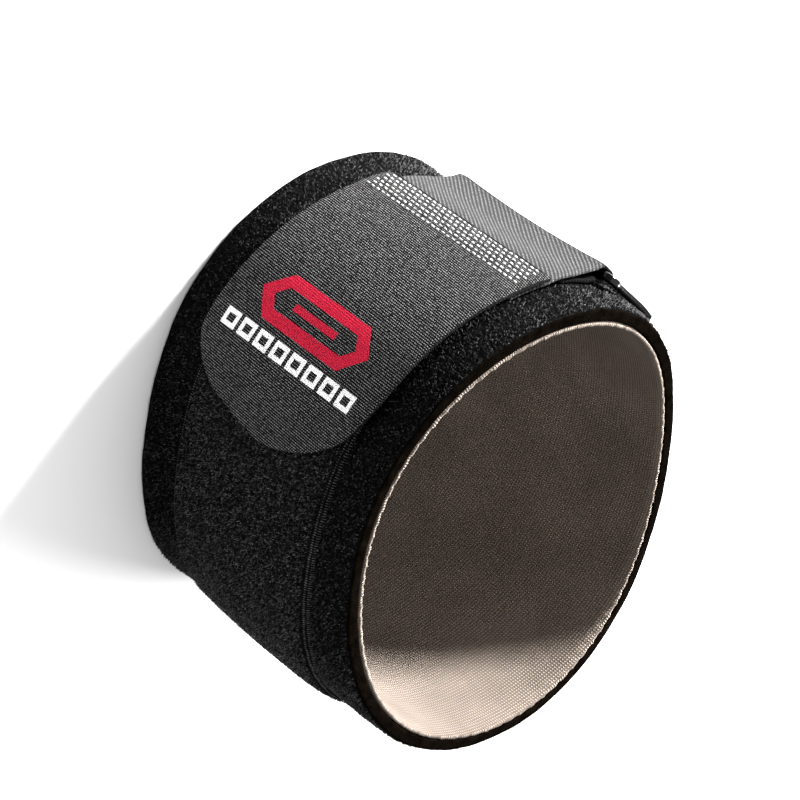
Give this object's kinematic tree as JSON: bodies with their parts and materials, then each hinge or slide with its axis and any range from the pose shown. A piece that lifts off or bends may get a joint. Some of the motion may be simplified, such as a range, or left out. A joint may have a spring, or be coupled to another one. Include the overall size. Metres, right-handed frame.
{
  "type": "tennis elbow strap",
  "caption": "Padded oval forearm band with a loop panel, a round-tipped hook tab and elastic webbing turned back through a black moulded buckle.",
  "frame": {"origin": "under the middle of the whole strap's outline, on the plane of the band's elbow-side edge", "axes": "+Z along the forearm from the elbow towards the wrist, -Y out through the face of the hook tab, -X out through the buckle"},
  "size_m": [0.11, 0.1088, 0.0759],
  "materials": {
    "pile_foam": "short black looped pile on foam, with a fine grey speckle",
    "lining_knit": "fine pale beige-grey knit",
    "loop_pile": "brushed dark grey loop pile, mottled",
    "tab_webbing": "charcoal woven webbing with fine cross ribs",
    "elastic_webbing": "light grey ribbed elastic with a slight sheen",
    "buckle_plastic": "glossy black moulded plastic",
    "keeper_webbing": "plain black webbing"
  },
  "bodies": {
    "root": {"neoprene_band": "pile_foam", "inner_lining": "lining_knit", "loop_panel": "loop_pile", "hook_tab": "tab_webbing", "elastic_strap": "elastic_webbing", "buckle": "buckle_plastic", "buckle_keeper": "keeper_webbing"}
  },
  "joints": []
}
